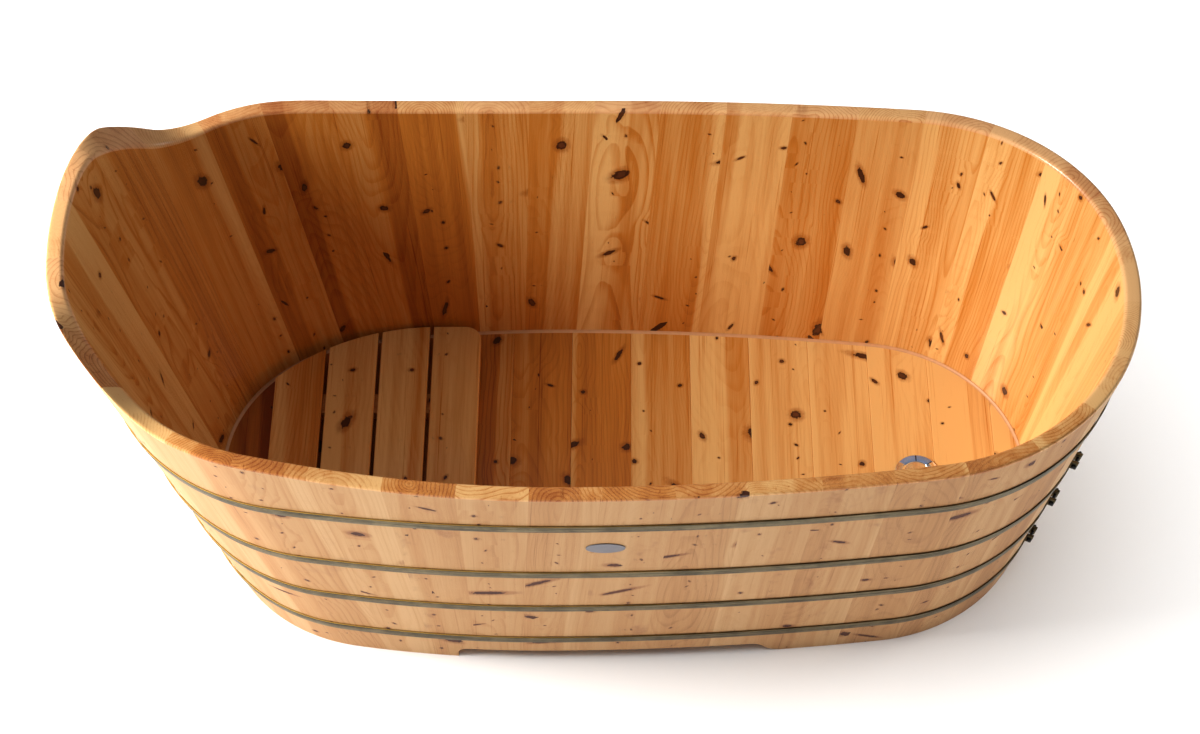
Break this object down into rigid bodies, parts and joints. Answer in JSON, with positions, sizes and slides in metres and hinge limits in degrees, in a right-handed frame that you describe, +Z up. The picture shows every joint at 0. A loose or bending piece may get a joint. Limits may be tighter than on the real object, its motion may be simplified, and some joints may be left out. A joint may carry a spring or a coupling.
{
  "type": "wooden bathtub",
  "caption": "Free-standing coopered wooden bathtub with metal hoops, a raised headrest, a loose slatted seat board and a floor waste with a lifting stopper.",
  "frame": {"origin": "middle of the bounding box's bottom, on the ground that the tub stands on", "axes": "+X towards the foot end with the waste, +Y from the front with the badge to the back, +Z up"},
  "size_m": [1.5476, 0.7632, 0.654],
  "materials": {
    "stave_wood": "varnished softwood with knots",
    "floor_wood": "varnished softwood",
    "frame_wood": "planed softwood",
    "seat_wood": "varnished softwood",
    "hoop_metal": "bronzed, satin",
    "bolt_metal": "black, satin",
    "screw_metal": "satin",
    "sealant": "matte",
    "washer_rubber": "matte",
    "pipe_plastic": "white, matte",
    "waste_chrome": "polished",
    "badge_metal": "satin, bare"
  },
  "bodies": {
    "tub": {"badge_plate": "badge_metal", "batten_screws": "screw_metal", "drain_flange": "waste_chrome", "drain_locknut": "pipe_plastic", "drain_tailpiece": "pipe_plastic", "drain_washers": "washer_rubber", "floor_battens": "frame_wood", "floor_board_waste": "floor_wood", "floor_boards": "floor_wood", "floor_seal": "sealant", "hoop_1": "hoop_metal", "hoop_2": "hoop_metal", "hoop_3": "hoop_metal", "hoop_4": "hoop_metal", "hoop_fasteners": "bolt_metal", "stave_back_01": "stave_wood", "stave_back_02": "stave_wood", "stave_back_03": "stave_wood", "stave_back_04": "stave_wood", "stave_back_05": "stave_wood", "stave_back_06": "stave_wood", "stave_back_07": "stave_wood", "stave_back_08": "stave_wood", "stave_back_09": "stave_wood", "stave_back_10": "stave_wood", "stave_foot_01": "stave_wood", "stave_foot_02": "stave_wood", "stave_foot_03": "stave_wood", "stave_foot_04": "stave_wood", "stave_foot_05": "stave_wood", "stave_foot_06": "stave_wood", "stave_foot_07": "stave_wood", "stave_foot_08": "stave_wood", "stave_foot_09": "stave_wood", "stave_front_01": "stave_wood", "stave_front_02": "stave_wood", "stave_front_03": "stave_wood", "stave_front_04": "stave_wood", "stave_front_05": "stave_wood", "stave_front_06": "stave_wood", "stave_front_07": "stave_wood", "stave_front_08": "stave_wood", "stave_front_09": "stave_wood", "stave_front_10": "stave_wood", "stave_head_01": "stave_wood", "stave_head_02": "stave_wood", "stave_head_03": "stave_wood", "stave_head_04": "stave_wood", "stave_head_05": "stave_wood", "stave_head_06": "stave_wood", "stave_head_07": "stave_wood", "stave_head_08": "stave_wood", "stave_head_09": "stave_wood"},
    "seat": {"seat_bearers": "seat_wood", "seat_screws": "screw_metal", "seat_slat_1": "seat_wood", "seat_slat_2": "seat_wood", "seat_slat_3": "seat_wood", "seat_slat_4": "seat_wood"},
    "stopper": {"drain_stopper": "waste_chrome"}
  },
  "joints": [
    {"name": "seat_lift", "type": "slide", "parent": "tub", "child": "seat", "axis": [0, 0, 1], "range_m": [0, 0.6]},
    {"name": "drain_stopper_travel", "type": "slide", "parent": "tub", "child": "stopper", "axis": [0, 0, 1], "range_m": [0, 0.009]}
  ]
}
